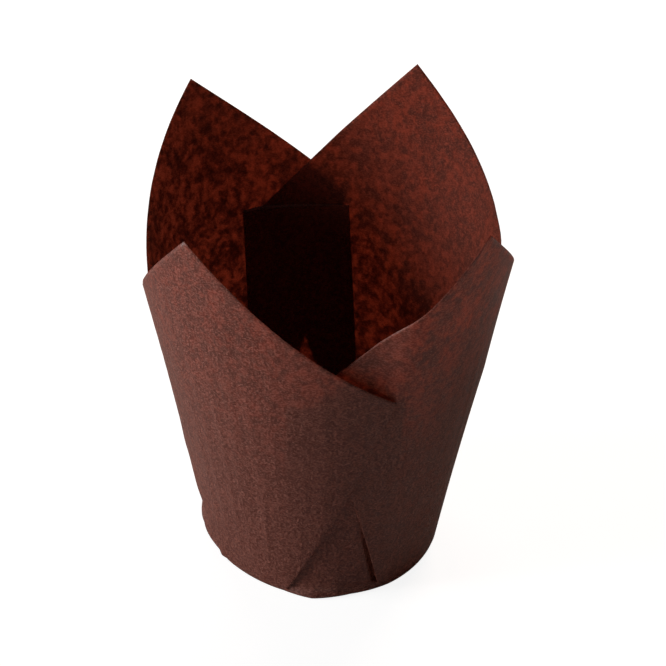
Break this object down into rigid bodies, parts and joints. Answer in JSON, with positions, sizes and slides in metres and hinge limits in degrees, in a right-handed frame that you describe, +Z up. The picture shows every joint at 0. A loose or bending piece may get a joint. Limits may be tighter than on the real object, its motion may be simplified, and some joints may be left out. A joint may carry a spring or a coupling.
{
  "type": "cupcake liner",
  "caption": "Tulip-shaped baking liner: one square sheet of dark brown greaseproof paper folded into a pleated cup with four pointed petals, open at the top.",
  "frame": {"origin": "centre of the flat base's underside", "axes": "+Z up through the mouth, the front pleat looks along -Y, +X to the right seen from the front"},
  "size_m": [0.0728, 0.0774, 0.0895],
  "materials": {
    "greaseproof_paper": "matte, slightly waxy greaseproof paper, dark brown"
  },
  "bodies": {
    "root": {"liner": "greaseproof_paper"}
  },
  "joints": []
}
